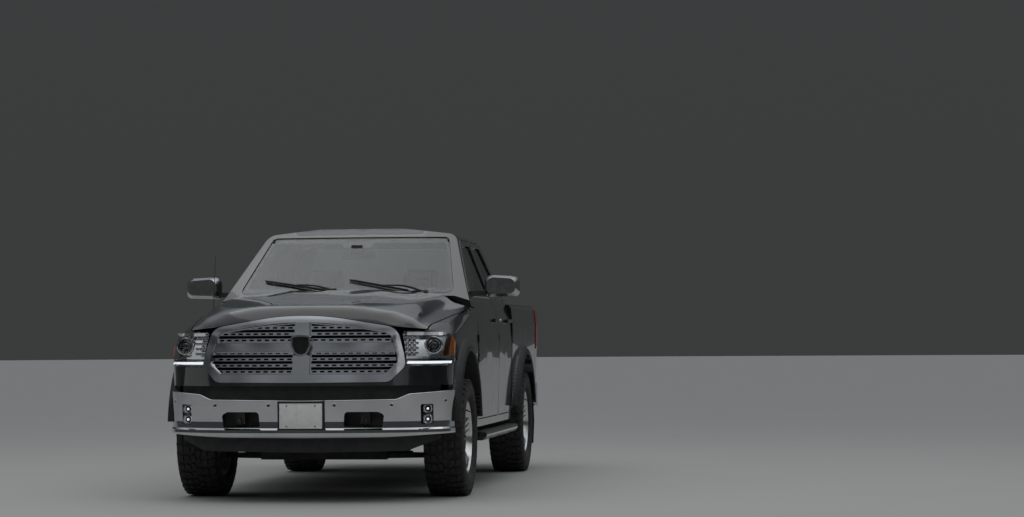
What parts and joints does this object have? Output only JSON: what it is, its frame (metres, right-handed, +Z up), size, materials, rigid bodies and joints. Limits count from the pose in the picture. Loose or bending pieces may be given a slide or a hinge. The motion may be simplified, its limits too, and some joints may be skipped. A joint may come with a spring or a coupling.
{
  "type": "crew cab pickup truck",
  "caption": "Crew cab pickup truck on a ladder frame, with hollow cab and load bed, opening doors, hood and tailgate, steered front wheels and rolling wheels.",
  "frame": {"origin": "on the ground below the middle of the truck's length and width", "axes": "+Z up, -Y the way the truck drives, +X towards its left side"},
  "size_m": [2.524, 5.8194, 1.958],
  "materials": {
    "paint": "gloss black",
    "chrome": "polished",
    "black_plastic": "textured",
    "glass": "tinted",
    "lamp": "clear",
    "tail_lamp": "gloss",
    "tyre": "matte",
    "rim": "polished",
    "chassis": "satin black",
    "steel": "bare",
    "trim": "grained",
    "seat": "grained",
    "liner": "textured coating"
  },
  "bodies": {
    "root": {"ladder_frame": "chassis", "engine_block": "steel", "drivetrain": "steel", "exhaust": "steel", "fuel_tank": "black_plastic", "front_arms": "chassis", "front_struts": "chassis", "front_differential": "steel", "rear_axle": "chassis", "rear_springs": "chassis", "spare_wheel": "tyre", "cowl": "black_plastic", "cab_shell": "paint", "cab_glass": "glass", "fenders": "paint", "nose_panel": "paint", "wheel_liners": "black_plastic", "grille_frame": "chrome", "grille_mesh": "chrome", "radiator": "black_plastic", "headlamps": "lamp", "front_bumper": "chrome", "fog_lamps": "lamp", "plate_holder": "black_plastic", "lower_valance": "black_plastic", "bed_sides": "paint", "bed_floor": "liner", "bed_posts": "paint", "tail_lamps": "tail_lamp", "rear_bumper": "chrome", "hitch_receiver": "chassis", "running_boards": "rim", "seats": "seat", "dashboard": "trim"},
    "hood": {"hood": "paint"},
    "tailgate": {"tailgate": "paint"},
    "door_front_left": {"door_front_left": "paint", "glass_front_left": "glass", "mirror_left": "chrome"},
    "door_front_right": {"door_front_right": "paint", "glass_front_right": "glass", "mirror_right": "chrome"},
    "door_rear_left": {"door_rear_left": "paint", "glass_rear_left": "glass"},
    "door_rear_right": {"door_rear_right": "paint", "glass_rear_right": "glass"},
    "knuckle_left": {"knuckle_left": "chassis"},
    "knuckle_right": {"knuckle_right": "chassis"},
    "wheel_front_left": {"tyre_front_left": "tyre", "rim_front_left": "rim"},
    "wheel_front_right": {"tyre_front_right": "tyre", "rim_front_right": "rim"},
    "wheel_rear_left": {"tyre_rear_left": "tyre", "rim_rear_left": "rim"},
    "wheel_rear_right": {"tyre_rear_right": "tyre", "rim_rear_right": "rim"}
  },
  "joints": [
    {"name": "steer_left", "type": "hinge", "parent": "root", "child": "knuckle_left", "pos_m": [0.72, -1.8725, 0.415], "axis": [0, 0, 1], "range_deg": [-32, 32]},
    {"name": "steer_right", "type": "hinge", "parent": "root", "child": "knuckle_right", "pos_m": [-0.72, -1.8725, 0.415], "axis": [0, 0, 1], "range_deg": [-32, 32]},
    {"name": "wheel_front_left", "type": "hinge", "parent": "knuckle_left", "child": "wheel_front_left", "pos_m": [0.878, -1.8725, 0.415], "axis": [1, 0, 0], "continuous": true},
    {"name": "wheel_front_right", "type": "hinge", "parent": "knuckle_right", "child": "wheel_front_right", "pos_m": [-0.878, -1.8725, 0.415], "axis": [1, 0, 0], "continuous": true},
    {"name": "wheel_rear_left", "type": "hinge", "parent": "root", "child": "wheel_rear_left", "pos_m": [0.878, 1.6965, 0.415], "axis": [1, 0, 0], "continuous": true},
    {"name": "wheel_rear_right", "type": "hinge", "parent": "root", "child": "wheel_rear_right", "pos_m": [-0.878, 1.6965, 0.415], "axis": [1, 0, 0], "continuous": true},
    {"name": "hood_hinge", "type": "hinge", "parent": "root", "child": "hood", "pos_m": [0, -1.3245, 1.33], "axis": [-1, 0, 0], "range_deg": [0, 48]},
    {"name": "tailgate_hinge", "type": "hinge", "parent": "root", "child": "tailgate", "pos_m": [0, 2.7555, 0.838], "axis": [-1, 0, 0], "range_deg": [0, 90]},
    {"name": "door_front_left_hinge", "type": "hinge", "parent": "root", "child": "door_front_left", "pos_m": [0.9815, -1.0895, 1], "axis": [0, 0, -1], "range_deg": [0, 65]},
    {"name": "door_front_right_hinge", "type": "hinge", "parent": "root", "child": "door_front_right", "pos_m": [-0.9815, -1.0895, 1], "axis": [0, 0, 1], "range_deg": [0, 65]},
    {"name": "door_rear_left_hinge", "type": "hinge", "parent": "root", "child": "door_rear_left", "pos_m": [0.9815, 0.1045, 1], "axis": [0, 0, -1], "range_deg": [0, 65]},
    {"name": "door_rear_right_hinge", "type": "hinge", "parent": "root", "child": "door_rear_right", "pos_m": [-0.9815, 0.1045, 1], "axis": [0, 0, 1], "range_deg": [0, 65]}
  ],
  "couplings": [
    {"joint": "steer_right", "follows": "steer_left", "ratio": 1}
  ]
}
